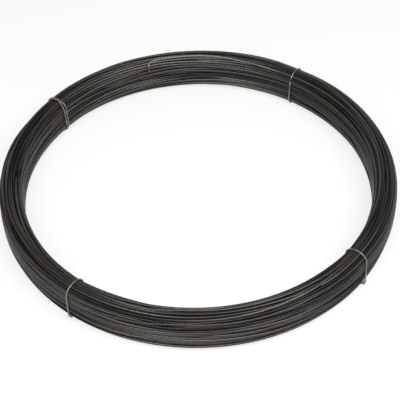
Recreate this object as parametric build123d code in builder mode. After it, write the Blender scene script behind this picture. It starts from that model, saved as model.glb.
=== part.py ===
"""Coil of wire rod: a compact ring bundle of steel rod, tied in four places.

The coil lies flat, as it is stored. Its turns run round the Z axis, and the
outer turns show as ridges on both ends, on the outside and in the bore.
One end of the rod lies loose on the top and is hooked down over the inner
shoulder. Each tie is one piece of thin wire, passed once round the bundle,
with its two ends twisted together on the outer side.

The origin is on the coil's axis, on the floor. Lengths are in millimetres.
"""

import os
from math import cos, hypot, pi, radians, sin

from build123d import *

# The rod and the bundle that its turns make
rod_diameter = 5.5
ring_radius = 388.0
bundle_width = 49.0
bundle_height = 87.0
bundle_flat = 5.0
ridges_on_outline = 24
groove_depth = 2.0

# The ties
tie_diameter = 2.8
tie_clearance = 0.3
tie_angles = {"right_back": 53.6, "left_back": 143.5, "left_front": 232.5, "right_front": 320.6}
tie_corner_steps = 4
knot_height = 24.0
knot_length = 15.0
knot_turns = 1.5
knot_steps = 9
knot_strand_gap = 0.15

# The loose end of the rod: it rises out of the bundle, lies in a groove and is hooked down
end_inset = 9.5
end_gap = 0.3
end_rise_angle = 66.0
end_hook_angle = 105.0
rise_slope = 12.0
rise_length = 25.0
hook_bend_radius = 9.0
hook_slope = 30.0
hook_depth = 20.0

tie_radius = tie_diameter / 2
rod_radius = rod_diameter / 2
bundle_corner = (bundle_width - bundle_flat) / 2
coil_mid_height = tie_diameter + tie_clearance + bundle_height / 2


def round_ring(radius, angle, height):
    """Point at a radius and an angle round the coil's axis."""
    return Vector(radius * cos(radians(angle)), radius * sin(radians(angle)), height)


def ring_plane(radius, angle, height, forward):
    """Plane across the ring with its X outwards, facing forward or back along the ring."""
    origin = round_ring(radius, angle, height)
    ahead = round_ring(forward, angle + 90, 0)
    return Plane(origin, x_dir=round_ring(1, angle, 0), z_dir=ahead)


# The bundle's envelope: an upright rounded oblong, which touches the outer turns
with BuildSketch(Plane.XZ) as envelope:
    with Locations((ring_radius, coil_mid_height)):
        RectangleRounded(bundle_width, bundle_height, bundle_corner)
outline = envelope.sketch.face().outer_wire()
bundle_centre = Vector(ring_radius, 0, coil_mid_height)

# Ridges for the outer turns, each with a groove half way to the next one
ridge_points = []
top_grooves = []
for ridge in range(ridges_on_outline):
    crest = outline.position_at(ridge / ridges_on_outline)
    groove_place = (ridge + 0.5) / ridges_on_outline
    groove = outline.position_at(groove_place)
    along = outline.tangent_at(groove_place)
    inward = Vector(along.Z, 0, -along.X)
    if inward.dot(bundle_centre - groove) < 0:
        inward = -inward
    groove += inward * groove_depth
    ridge_points += [crest, groove]
    if groove.Z > coil_mid_height:
        top_grooves.append((groove, inward))

# The loose end lies over one groove, just clear of the ridges on either side of it
half_pitch = outline.length / ridges_on_outline / 2
end_stand = (rod_radius + end_gap) * hypot(half_pitch, groove_depth) / half_pitch
bore_radius = ring_radius - bundle_width / 2
end_place = bore_radius + end_inset
end_groove, end_inward = min(top_grooves, key=lambda found: abs(found[0].X - end_place))
end_line = end_groove - end_inward * end_stand

# Its path: a rise out of the bundle, a run over the groove, a tight bend and a hook
run_start = ring_plane(end_line.X, end_rise_angle, end_line.Z, -1)
run_middle = round_ring(end_line.X, (end_rise_angle + end_hook_angle) / 2, end_line.Z)
run_end = ring_plane(end_line.X, end_hook_angle, end_line.Z, 1)
sunk = run_start.z_dir * cos(radians(rise_slope)) - Vector(0, 0, sin(radians(rise_slope)))
rise_chord = (run_start.z_dir + sunk).normalized() * rise_length
turned = run_end.x_dir * -cos(radians(hook_slope)) - Vector(0, 0, sin(radians(hook_slope)))
bend_end = run_end.origin + (run_end.z_dir + turned) * hook_bend_radius
hook_in = end_line.X - (bore_radius - rod_radius - end_gap)
hook_end = run_end.origin + run_end.z_dir * hook_bend_radius
hook_end -= run_end.x_dir * hook_in + Vector(0, 0, hook_depth)
with BuildLine() as end_path:
    ThreePointArc(run_start.origin, run_middle, run_end.origin)
    rise = TangentArc(run_start.origin, run_start.origin + rise_chord, tangent=run_start.z_dir)
    Line(rise @ 1, rise @ 1 + (rise % 1) * rise_length / 2)
    bend = TangentArc(run_end.origin, bend_end, tangent=run_end.z_dir)
    TangentArc(bend @ 1, hook_end, tangent=bend % 1)
end_wire = end_path.wires()[0]

with BuildPart() as loose_end:
    with BuildSketch(Plane(end_wire @ 0, z_dir=end_wire % 0)):
        RegularPolygon(rod_radius, 8)
    sweep(path=end_wire)

with BuildPart() as wire_coil:
    with BuildSketch(Plane.XZ):
        with BuildLine():
            Polyline(*[(point.X, point.Z) for point in ridge_points], close=True)
        make_face()
    revolve(axis=Axis.Z)
    add(loose_end.part)

wire_coil.part.label = "wire_coil"


def tie_path(angle):
    """Points of one tie: a twisted strand, once round the bundle, the other strand."""
    out = round_ring(1, angle, 0)
    along = round_ring(1, angle + 90, 0)
    up = Vector(0, 0, 1)
    centre = out * ring_radius + up * coil_mid_height
    stand_off = tie_clearance + tie_radius

    # Round the bundle, touching its rounded corners with short straight runs
    loop = []
    step = 90 / tie_corner_steps
    reach = (bundle_corner + stand_off) / cos(radians(step / 2))
    side = bundle_width / 2 - bundle_corner
    end = bundle_height / 2 - bundle_corner
    for first, right, top in ((-90, 1, -1), (180, -1, -1), (90, -1, 1), (0, 1, 1)):
        for number in range(tie_corner_steps):
            turn = radians(first + 90 - (number + 0.5) * step)
            across = right * side + reach * cos(turn)
            height = top * end + reach * sin(turn)
            loop.append(centre + out * across + up * height)

    # The two strands, half a turn apart, twisted about a line along the ring
    strand_turn = 2 * pi * knot_turns / knot_steps
    twist_radius = (tie_radius + knot_strand_gap / 2) / cos(strand_turn / 2)
    axis_out = bundle_width / 2 + stand_off + twist_radius
    axis_height = knot_height - coil_mid_height
    strands = []
    for side_sign in (-1, 1):
        strand = []
        for number in range(knot_steps + 1):
            turn = side_sign * pi / 2 + number * strand_turn
            place = out * (axis_out + twist_radius * cos(turn))
            place += up * (axis_height + twist_radius * sin(turn))
            place += along * (tie_diameter + number * knot_length / knot_steps)
            strand.append(centre + place)
        strands.append(strand)
    lower, upper = strands
    return list(reversed(lower)) + loop + upper


def make_tie(angle):
    """One tie wire with its knot, at an angle round the ring."""
    points = tie_path(angle)
    with BuildPart() as tie:
        with BuildLine() as path:
            Polyline(*points)
        with BuildSketch(Plane(points[0], z_dir=points[1] - points[0])):
            RegularPolygon(tie_radius, 6)
        sweep(path=path.wires()[0], transition=Transition.RIGHT)
    return tie.part


os.makedirs("parts", exist_ok=True)
export_step(wire_coil.part, "parts/wire_coil.step")
for place, angle in tie_angles.items():
    tie_wire = make_tie(angle)
    tie_wire.label = f"tie_wire_{place}"
    export_step(tie_wire, f"parts/tie_wire_{place}.step")
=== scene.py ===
import math

import bpy
import numpy as np
from mathutils import Matrix, Vector


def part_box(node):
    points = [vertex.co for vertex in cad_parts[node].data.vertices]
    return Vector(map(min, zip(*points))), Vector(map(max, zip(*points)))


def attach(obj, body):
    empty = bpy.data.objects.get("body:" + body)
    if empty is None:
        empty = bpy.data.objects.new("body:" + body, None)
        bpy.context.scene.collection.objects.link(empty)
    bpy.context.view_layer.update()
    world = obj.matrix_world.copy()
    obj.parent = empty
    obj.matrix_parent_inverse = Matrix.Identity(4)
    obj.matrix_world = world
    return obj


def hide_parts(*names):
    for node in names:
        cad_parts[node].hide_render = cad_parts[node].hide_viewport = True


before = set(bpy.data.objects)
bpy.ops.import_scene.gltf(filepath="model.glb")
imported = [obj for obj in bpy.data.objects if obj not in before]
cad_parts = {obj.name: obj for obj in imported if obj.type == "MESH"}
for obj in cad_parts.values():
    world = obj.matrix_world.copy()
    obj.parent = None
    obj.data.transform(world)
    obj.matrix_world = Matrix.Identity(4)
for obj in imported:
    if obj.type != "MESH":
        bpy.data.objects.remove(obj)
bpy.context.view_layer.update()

bpy.ops.object.select_all(action="DESELECT")


# The rod: one length of hot-rolled steel, wound turn on turn into a ring bundle.
# It is black with scale from the mill, worn grey where turns have rubbed, and a
# little rusty. Its last stretch lies on top and is hooked down the inner shoulder.

rod_radius = 0.00275
turns = 106
stations = 112
bundle_width = 0.049
bundle_flat = 0.005

# How much the turns are out of order and stray, and how the first end is tucked in
places_out_of_order = 4.0
wander_size = 0.0034
wander_degrees = 34
wander_reach = 30
start_tuck = 0.011
start_tuck_degrees = 150

# Where the bundle is tied, in degrees round the ring, and how far each tie draws it in
tie_places = {
    "right_back": 53.6,
    "left_back": 143.5,
    "left_front": 232.5,
    "right_front": 320.6,
}
tie_squeeze = 0.0022
tie_squeeze_degrees = 7

# The last turn climbs over the top, and then its end lies loose on the inner shoulder.
# The degrees are counted from the start of the last turn.
lead_degrees = [-250, -140, -40]
lead_across = [0.0213, 0.0165, 0.0020]
lead_up = [0.0100, 0.0330, 0.0400]
end_degrees = [62, 72, 84, 97, 102.8]
end_inward = [0.0190, 0.0165, 0.0113, 0.0110, 0.0116]
end_lift = 0.0040
hook_bend_ahead = 0.027
hook_bend_down = 0.011
hook_bend_step = 9
hook_length = 0.014
hook_steps = 4

# How the turns settle: rounds of it, and in each round the share of a bend that is
# smoothed, of a stray that is taken back, and of an overlap that is pushed apart.
# Each turn minds only its nearest ones, which are looked for again now and then.
settle_rounds = 300
smoothed = 0.35
taken_back = 0.004
pushed_apart = 0.36
settled_gap = 2.04 * rod_radius
near_turns = 16
look_again = 15
shake_every = 10
shake_rounds = 240
shake_size = 0.0005

coil_low, coil_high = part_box("wire_coil")
tie_low, tie_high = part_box("tie_wire_left_front")
ring_radius = coil_high[0] - bundle_width / 2
mid_height = (tie_low[2] + tie_high[2]) / 2
bundle_height = 2 * (mid_height - coil_low[2])
bundle_corner = (bundle_width - bundle_flat) / 2

# The rod's middle keeps a rod's radius inside the bundle's outline
place_corner = bundle_corner - rod_radius
place_side = bundle_flat / 2
place_end = bundle_height / 2 - bundle_corner


def outside_by(points):
    """How far points of the section lie outside the rounded oblong, and the way out."""
    near = np.clip(points, [-place_side, -place_end], [place_side, place_end])
    away = points - near
    length = np.maximum(np.linalg.norm(away, axis=-1, keepdims=True), 1e-9)
    return length[..., 0] - place_corner, away / length


def laid_places(spacing):
    """Places in the section, layer by layer from the bore outwards, up one, down the next."""
    across = spacing * math.sqrt(3) / 2
    half_layers = int((place_side + place_corner) / across) + 1
    places = []
    for layer in range(-half_layers, half_layers + 1):
        rows = int(bundle_height / spacing) + 2
        column = [(layer * across, (row + layer % 2 / 2) * spacing) for row in range(-rows, rows)]
        inside = [place for place in column if outside_by(np.array(place))[0] <= 0]
        places += inside if layer % 2 else inside[::-1]
    return places


# The widest spacing at which all the turns find a place
spacing = 2 * rod_radius
wider = 1.001
while len(laid_places(spacing * wider)) >= turns:
    spacing *= wider
places = np.array(laid_places(spacing))[:turns]

# Turns are not laid in strict order: each may change places with a near one
chance = np.random.default_rng(11)
order = np.argsort(np.arange(turns) + chance.uniform(0, places_out_of_order, turns))
places = places[order]

# The rod's route, as places in the section at so many stations to a turn. It goes from
# each turn's place to the next one's in one turn round, with a slow wander.
count = (turns - 1) * stations + round(end_degrees[-1] / 360 * stations) + 1
step = np.arange(count) / stations
whole = step.astype(int)
part_way = (step - whole)[:, None]
after = np.minimum(whole + 1, turns - 1)
route = places[whole] * (1 - part_way) + places[after] * part_way
wander = chance.normal(0, 1, (count, 2))
reach = np.arange(-wander_reach, wander_reach + 1)
slow = np.exp(-((reach * 360 / stations / wander_degrees) ** 2))
slow /= np.sqrt((slow**2).sum())
for side in range(2):
    wander[:, side] = np.convolve(wander[:, side], slow, mode="same")
route = route + wander * wander_size

# Its first end is tucked in among the other turns, out of sight
tuck = np.clip(1 - step * 360 / start_tuck_degrees, 0, 1)
route[:, 0] += start_tuck * tuck**2 * (3 - 2 * tuck)

# The loose stretch at the end is held where it lies, over the top of the inner shoulder
degrees_round = (step - (turns - 1)) * 360
held = np.nonzero(degrees_round >= end_degrees[0])[0]
inward = np.interp(degrees_round[held], end_degrees, end_inward)
inward[1:-1] = (inward[:-2] + 2 * inward[1:-1] + inward[2:]) / 4
over = place_corner + end_lift
route[held, 0] = -inward
route[held, 1] = place_end + np.sqrt(over**2 - (inward - place_side) ** 2)
end_path = route[held].copy()

# The turn before it climbs from the outer side over the top
lead = np.nonzero((degrees_round >= lead_degrees[0]) & (degrees_round < end_degrees[0]))[0]
met = lead_degrees + end_degrees[:1]
route[lead, 0] = np.interp(degrees_round[lead], met, lead_across + [end_path[0, 0]])
route[lead, 1] = np.interp(degrees_round[lead], met, lead_up + [end_path[0, 1]])
home = route.copy()

# Settling: near turns push each other apart in each section, the bundle holds them in,
# closer at the top of each tie, and the rod's stiffness keeps each turn smooth
squeeze = np.zeros(count)
for degrees in tie_places.values():
    off = (step * 360 - degrees + 180) % 360 - 180
    squeeze += tie_squeeze * np.exp(-((off / tie_squeeze_degrees) ** 2))
# The last turn is not a whole one, so its missing stations stand metres away from the rest
metres_away = 9.0
padded = np.full((turns * stations, 2), metres_away)
padded[count:, 0] += np.arange(turns * stations - count)
every = np.arange(stations)[:, None, None]
for settle in range(settle_rounds):
    # A shake now and then frees turns that are caught on one another
    if settle % shake_every == shake_every // 2 and settle < shake_rounds:
        route += chance.normal(0, shake_size, route.shape)
    route[1:-1] += smoothed * ((route[:-2] + route[2:]) / 2 - route[1:-1])
    route += taken_back * (home - route)
    # At the stations, and then half way between them, so that crossing turns part there too
    for between in (0, 1):
        spots = count - between
        padded[:spots] = (route[:spots] + route[between:]) / 2
        section = padded.reshape(turns, stations, 2).transpose(1, 0, 2)
        if settle % look_again == 0 and between == 0:
            apart = section[:, :, None] - section[:, None, :]
            near = np.argpartition((apart**2).sum(-1), near_turns, axis=2)[:, :, :near_turns]
        apart = section[:, :, None] - section[every, near]
        gap = np.sqrt((apart**2).sum(-1, keepdims=True))
        overlap = np.clip(settled_gap - gap, 0, None) * (gap > 0)
        push = (apart / np.maximum(gap, 1e-6) * overlap * pushed_apart).sum(2)
        push = push.transpose(1, 0, 2).reshape(-1, 2)[:spots]
        route[:spots] += push / 2
        route[between:] += push / 2
        excess, outwards = outside_by(route)
        excess += squeeze * np.clip(0.5 + route[:, 1] / place_end, 0, 1)
        route -= outwards * np.clip(excess, 0, None)[:, None]
        route[held] = end_path


def on_ring(places, angles):
    """Points in space of places in the section, at angles round the ring."""
    radius = ring_radius + places[:, 0]
    height = mid_height + places[:, 1]
    return np.stack([radius * np.cos(angles), radius * np.sin(angles), height], axis=1)


# The hook: a long bend from the run round the ring to the way down the shoulder
shoulder_turn = math.atan2(end_path[-1, 1] - place_end, end_path[-1, 0] + place_side)
bend = np.radians(np.arange(hook_bend_step, 91, hook_bend_step))
round_bend = hook_bend_down * (1 - np.cos(bend))
past_bend = hook_length * np.arange(1, hook_steps + 1) / hook_steps
down = np.append(round_bend, round_bend[-1] + past_bend)
forward = np.append(hook_bend_ahead * np.sin(bend), [hook_bend_ahead] * hook_steps)
turned = shoulder_turn + down / over
hook_places = np.stack(
    [-place_side + over * np.cos(turned), place_end + over * np.sin(turned)], axis=1
)
angles = step * 2 * math.pi
hook_angles = angles[-1] + forward / (ring_radius + hook_places[:, 0])
rod_points = np.vstack([on_ring(route, angles), on_ring(hook_places, hook_angles)])
rod_length = np.linalg.norm(np.diff(rod_points, axis=0), axis=1).sum()


def wire_mesh(name, points, radius, resolution):
    """A round wire bent along points, as a mesh that knows how far along it each point is."""
    curve = bpy.data.curves.new(name, "CURVE")
    curve.dimensions = "3D"
    curve.bevel_depth = radius
    curve.bevel_resolution = resolution
    curve.use_fill_caps = True
    spline = curve.splines.new("POLY")
    spline.points.add(len(points) - 1)
    spline.points.foreach_set("co", np.append(points, np.ones((len(points), 1)), axis=1).ravel())
    wire = bpy.data.objects.new(name, curve)
    bpy.context.collection.objects.link(wire)
    bpy.ops.object.select_all(action="DESELECT")
    wire.select_set(True)
    bpy.context.view_layer.objects.active = wire
    bpy.ops.object.convert(target="MESH")
    bpy.ops.object.shade_smooth()
    # Each ring of points round the wire has twice the curve's resolution and four more
    sides = 2 * resolution + 4
    lengths = np.append(0, np.cumsum(np.linalg.norm(np.diff(points, axis=0), axis=1)))
    ring = np.minimum(np.arange(len(wire.data.vertices)) // sides, len(points) - 1)
    along = wire.data.attributes.new("along", "FLOAT", "POINT")
    along.data.foreach_set("value", lengths[ring])
    return wire


rod_resolution = 2
rod = wire_mesh("rod", rod_points, rod_radius, rod_resolution)


def linear(hex_colour):
    """A colour written as sRGB hex, as linear red, green, blue and full cover."""
    parts = [int(hex_colour[i : i + 2], 16) / 255 for i in (1, 3, 5)]
    return [c / 12.92 if c <= 0.04045 else ((c + 0.055) / 1.055) ** 2.4 for c in parts] + [1.0]


def node(tree, kind, settings=(), links=()):
    """Adds a node, sets its properties and inputs, and links its inputs to outputs."""
    made = tree.nodes.new(kind)
    for key, value in dict(settings).items():
        if isinstance(key, int) or key in made.inputs:
            made.inputs[key].default_value = value
        else:
            setattr(made, key, value)
    for key, source in dict(links).items():
        tree.links.new(source, made.inputs[key])
    return made


# Hot-rolled low-carbon steel with its black mill scale. The scale is dull and nearly
# black, and rubbed places are greyer and smoother. Rust shows as faint brown patches.
tones_per_metre = 1.7
patch_size = 0.0625
speck_size = 0.00303
unevenness_size = 0.008
unevenness_depth = 0.0003
paler_end_from = 0.30
paler_end_to = 0.12

scale = bpy.data.materials.new("mill scale on hot-rolled steel")
scale.use_nodes = True
tree = scale.node_tree
shader = tree.nodes["Principled BSDF"]
along = node(tree, "ShaderNodeAttribute", {"attribute_name": "along"})
where = node(tree, "ShaderNodeTexCoord")
# One grey for each half metre or so of rod, so that turns differ from their neighbours
turn_tone = node(tree, "ShaderNodeTexNoise",
                 {"noise_dimensions": "1D", "Scale": tones_per_metre, "Detail": 2.0},
                 {"W": along.outputs["Fac"]})
# Patches of rust and oil, about 60 mm across
patches = node(tree, "ShaderNodeTexNoise",
               {"Scale": 1 / patch_size, "Detail": 4.0, "Roughness": 0.6},
               {"Vector": where.outputs["Object"]})
# Specks of broken scale, about 3 mm across, drawn coarser than real ones so that they show
specks = node(tree, "ShaderNodeTexNoise",
              {"Scale": 1 / speck_size, "Detail": 3.0, "Roughness": 0.7},
              {"Vector": where.outputs["Object"]})
tone_ramp = node(tree, "ShaderNodeValToRGB", {}, {"Fac": turn_tone.outputs["Fac"]})
tone_ramp.color_ramp.elements[0].position = 0.36
tone_ramp.color_ramp.elements[0].color = linear("#2b2929")
tone_ramp.color_ramp.elements[1].position = 0.64
tone_ramp.color_ramp.elements[1].color = linear("#625f5b")
# The last stretch of rod, up to the loose end, is coloured a paler grey
near_end = node(tree, "ShaderNodeMapRange",
                {"From Min": rod_length - paler_end_from, "From Max": rod_length - paler_end_to},
                {"Value": along.outputs["Fac"]})
paler_end_mix = node(tree, "ShaderNodeMix", {"data_type": "RGBA"})
tree.links.new(near_end.outputs["Result"], paler_end_mix.inputs[0])
tree.links.new(tone_ramp.outputs["Color"], paler_end_mix.inputs[6])
paler_end_mix.inputs[7].default_value = linear("#7c7770")
rust_ramp = node(tree, "ShaderNodeValToRGB", {}, {"Fac": patches.outputs["Fac"]})
rust_ramp.color_ramp.elements[0].position = 0.56
rust_ramp.color_ramp.elements[0].color = (0, 0, 0, 1)
rust_ramp.color_ramp.elements[1].position = 0.74
rust_ramp.color_ramp.elements[1].color = (0.5, 0.5, 0.5, 1)
rusty = node(tree, "ShaderNodeMix", {"data_type": "RGBA"})
tree.links.new(rust_ramp.outputs["Color"], rusty.inputs[0])
tree.links.new(paler_end_mix.outputs[2], rusty.inputs[6])
rusty.inputs[7].default_value = linear("#5a4a38")
speck_ramp = node(tree, "ShaderNodeValToRGB", {}, {"Fac": specks.outputs["Fac"]})
speck_ramp.color_ramp.elements[0].position = 0.35
speck_ramp.color_ramp.elements[0].color = (0.62, 0.62, 0.62, 1)
speck_ramp.color_ramp.elements[1].position = 0.62
speck_ramp.color_ramp.elements[1].color = (1.1, 1.1, 1.1, 1)
speckled = node(tree, "ShaderNodeMix", {"data_type": "RGBA", "blend_type": "MULTIPLY"})
speckled.inputs[0].default_value = 1.0
tree.links.new(rusty.outputs[2], speckled.inputs[6])
tree.links.new(speck_ramp.outputs["Color"], speckled.inputs[7])
tree.links.new(speckled.outputs[2], shader.inputs["Base Color"])
rough = node(tree, "ShaderNodeMapRange", {"To Min": 0.26, "To Max": 0.46},
             {"Value": specks.outputs["Fac"]})
tree.links.new(rough.outputs["Result"], shader.inputs["Roughness"])
shader.inputs["Metallic"].default_value = 0.8
# The rolled surface is uneven, by about a tenth of a millimetre every 8 mm
uneven = node(tree, "ShaderNodeTexNoise", {"Scale": 1 / unevenness_size, "Detail": 1.0},
              {"Vector": where.outputs["Object"]})
bump = node(tree, "ShaderNodeBump", {"Strength": 0.3, "Distance": unevenness_depth},
            {"Height": uneven.outputs["Fac"]})
tree.links.new(bump.outputs["Normal"], shader.inputs["Normal"])
rod.data.materials.append(scale)
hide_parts("wire_coil")
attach(rod, "root")


# The four ties: soft annealed steel wire, half as thick as the rod. Each is pulled
# tight round the bundle, one of them twice round, and its two ends are twisted
# together with pliers. The twist is laid along the outer side, low down.

tie_radius = 0.0014
tie_resolution = 3

# Times round the bundle, and the way along the ring in which the twist is laid
rounds = {"right_back": 1, "left_back": 2, "left_front": 1, "right_front": 1}
twist_way = {"right_back": 1, "left_back": 1, "left_front": 1, "right_front": -1}

# The twist of the two ends, whose cut tips spread a little
knot_height = 0.024 - mid_height
knot_length = 0.009
knot_turns = 1.25
knot_steps = 18
strand_slack = 1.04
tip_spread = 0.6

# The loop, from one side of the twist round to the other, in degrees round the section
loop_start = -16
loop_end = -344
loop_step = 4
loop_clearance = 0.0002
loop_spacing = 0.0015
loop_eases = 3

# Two rounds lie side by side. The wire moves over to the second one as it passes the
# twist, and they part a little where they go over the inner shoulder.
rounds_slack = 1.03
change_degrees = 32
shoulder_degrees = 205
shoulder_reach = 32
shoulder_gap = 0.0026


def section_at(angle):
    """Places of all the turns at an angle round the ring."""
    station = angle / (2 * math.pi) * stations
    first = int(station)
    share = station - first
    before = np.arange(first, count - 1, stations)
    return route[before] * (1 - share) + route[before + 1] * share


def tie_points(angle, times_round, way):
    """The tie's path: one strand of the twist, round the bundle, and the other strand."""
    rods = section_at(angle)
    stand_off = rod_radius + tie_radius + loop_clearance
    loop = []
    # Pulled tight: each way out of the section, it lies on the outermost turn that way
    for degrees in range(loop_start, loop_end - 360 * (times_round - 1) - 1, -loop_step):
        facing = np.array([math.cos(math.radians(degrees)), math.sin(math.radians(degrees))])
        outermost = rods[np.argmax(rods @ facing)]
        second = min(max((loop_end - degrees) / change_degrees, 0), 1)
        off_shoulder = (-degrees % 360 - shoulder_degrees) / shoulder_reach
        apart = tie_radius * rounds_slack + shoulder_gap * math.exp(-(off_shoulder**2))
        beside = (2 * second - 1) * apart if times_round == 2 else 0.0
        loop.append(np.append(outermost + facing * stand_off, beside))
    # Spaced evenly and eased a little, as wire bends over the turns and not at a point
    loop = np.array(loop)
    lengths = np.append(0, np.cumsum(np.linalg.norm(np.diff(loop, axis=0), axis=1)))
    even = np.linspace(0, lengths[-1], int(lengths[-1] / loop_spacing))
    loop = np.stack([np.interp(even, lengths, loop[:, side]) for side in range(3)], axis=1)
    for ease in range(loop_eases):
        loop[1:-1] = (loop[:-2] + 2 * loop[1:-1] + loop[2:]) / 4
    # The two strands, half a turn apart, twisted about a line along the ring
    twist_radius = tie_radius * strand_slack
    axis_out = rods[:, 0].max() + rod_radius + tie_radius + twist_radius
    twisted = np.arange(knot_steps + 1) / knot_steps
    strands = []
    for begins in (-0.5, 0.5):
        turn = np.pi * (begins + 2 * way * twisted * knot_turns)
        ahead = way * (times_round * 2 * tie_radius + twisted * knot_length)
        spread = twist_radius * (1 + tip_spread * twisted**8)
        across = axis_out + spread * np.cos(turn)
        strands.append(np.stack([across, knot_height + spread * np.sin(turn), ahead], axis=1))
    lower, upper = strands
    path = np.vstack([lower[::-1], loop, upper])
    out = np.array([math.cos(angle), math.sin(angle), 0])
    onward = np.array([-math.sin(angle), math.cos(angle), 0])
    up = np.array([0, 0, 1])
    middle = out * ring_radius + up * mid_height
    return middle + path[:, :1] * out + path[:, 1:2] * up + path[:, 2:] * onward


# Annealed tie wire: plain drawn steel that has gone a dull mid grey in the furnace.
# It is smoother and paler than the rod.
stretch_length = 0.010

annealed = bpy.data.materials.new("annealed steel tie wire")
annealed.use_nodes = True
tree = annealed.node_tree
shader = tree.nodes["Principled BSDF"]
along = node(tree, "ShaderNodeAttribute", {"attribute_name": "along"})
# Darker and paler stretches of about 10 mm
stretches = node(tree, "ShaderNodeTexNoise",
                 {"noise_dimensions": "1D", "Scale": 1 / stretch_length, "Detail": 3.0},
                 {"W": along.outputs["Fac"]})
ramp = node(tree, "ShaderNodeValToRGB", {}, {"Fac": stretches.outputs["Fac"]})
ramp.color_ramp.elements[0].position = 0.3
ramp.color_ramp.elements[0].color = linear("#605e5a")
ramp.color_ramp.elements[1].position = 0.7
ramp.color_ramp.elements[1].color = linear("#a09d98")
tree.links.new(ramp.outputs["Color"], shader.inputs["Base Color"])
shader.inputs["Metallic"].default_value = 0.6
shader.inputs["Roughness"].default_value = 0.42

for place, degrees in tie_places.items():
    path = tie_points(math.radians(degrees), rounds[place], twist_way[place])
    tie = wire_mesh(f"tie_{place}", path, tie_radius, tie_resolution)
    tie.data.materials.append(annealed)
    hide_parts(f"tie_wire_{place}")
    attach(tie, "root")


# The studio: a white paper sweep, soft light all round with one wide softbox high up
# in front of the coil, and the photograph's camera.

sweep_size = 30
bpy.ops.object.select_all(action="DESELECT")
bpy.ops.mesh.primitive_plane_add(size=sweep_size, location=(0, 0, 0))
floor = bpy.context.active_object
floor.name = "floor"

# White paper. Seen straight or as a reflection, it is partly lit from within, which
# pales the coil's shadow to the faint one of a photograph on a light table.
lit_share = 0.72
paper = bpy.data.materials.new("white paper sweep")
paper.use_nodes = True
tree = paper.node_tree
shader = tree.nodes["Principled BSDF"]
shader.inputs["Base Color"].default_value = linear("#f7f7f6")
shader.inputs["Roughness"].default_value = 0.9
shader.inputs["Specular IOR Level"].default_value = 0.0
glow = node(tree, "ShaderNodeEmission", {"Color": (1, 1, 1, 1), "Strength": 1.0})
light_path = node(tree, "ShaderNodeLightPath")
looked_at = node(tree, "ShaderNodeMath", {"operation": "MAXIMUM"},
                 {0: light_path.outputs["Is Camera Ray"], 1: light_path.outputs["Is Glossy Ray"]})
share = node(tree, "ShaderNodeMath", {"operation": "MULTIPLY", 1: lit_share},
             {0: looked_at.outputs[0]})
paled = node(tree, "ShaderNodeMixShader", {},
             {0: share.outputs[0], 1: shader.outputs[0], 2: glow.outputs[0]})
tree.links.new(paled.outputs[0], tree.nodes["Material Output"].inputs["Surface"])
floor.data.materials.append(paper)

world = bpy.data.worlds.new("soft light")
bpy.context.scene.world = world
world.use_nodes = True
world.node_tree.nodes["Background"].inputs["Color"].default_value = (1, 1, 1, 1)
world.node_tree.nodes["Background"].inputs["Strength"].default_value = 0.40

lamp = bpy.data.lights.new("wide softbox", "AREA")
lamp.shape = "RECTANGLE"
lamp.size = 4.0
lamp.size_y = 0.8
lamp.energy = 88
softbox = bpy.data.objects.new("wide softbox", lamp)
softbox.location = (0.3, -1.4, 2.2)
softbox.rotation_euler = (-Vector(softbox.location)).to_track_quat("-Z", "Y").to_euler()
bpy.context.collection.objects.link(softbox)

# The camera's height angle, roll and distance come from a fit to the ring's edge curves
camera_height = math.radians(43.99)
camera_roll = math.radians(1.41)
camera_distance = 5.69 * ring_radius
view = bpy.data.cameras.new("camera")
view.sensor_width = 36
view.lens = 94.55
view.shift_x = 0.005
view.shift_y = -0.0468
camera = bpy.data.objects.new("camera", view)
camera_back = camera_distance * math.cos(camera_height)
camera_up = mid_height + camera_distance * math.sin(camera_height)
camera.matrix_world = (
    Matrix.Translation((0, -camera_back, camera_up))
    @ Matrix.Rotation(math.pi / 2 - camera_height, 4, "X")
    @ Matrix.Rotation(-camera_roll, 4, "Z")
)
bpy.context.collection.objects.link(camera)
bpy.context.scene.camera = camera
bpy.context.scene.view_settings.view_transform = "Standard"
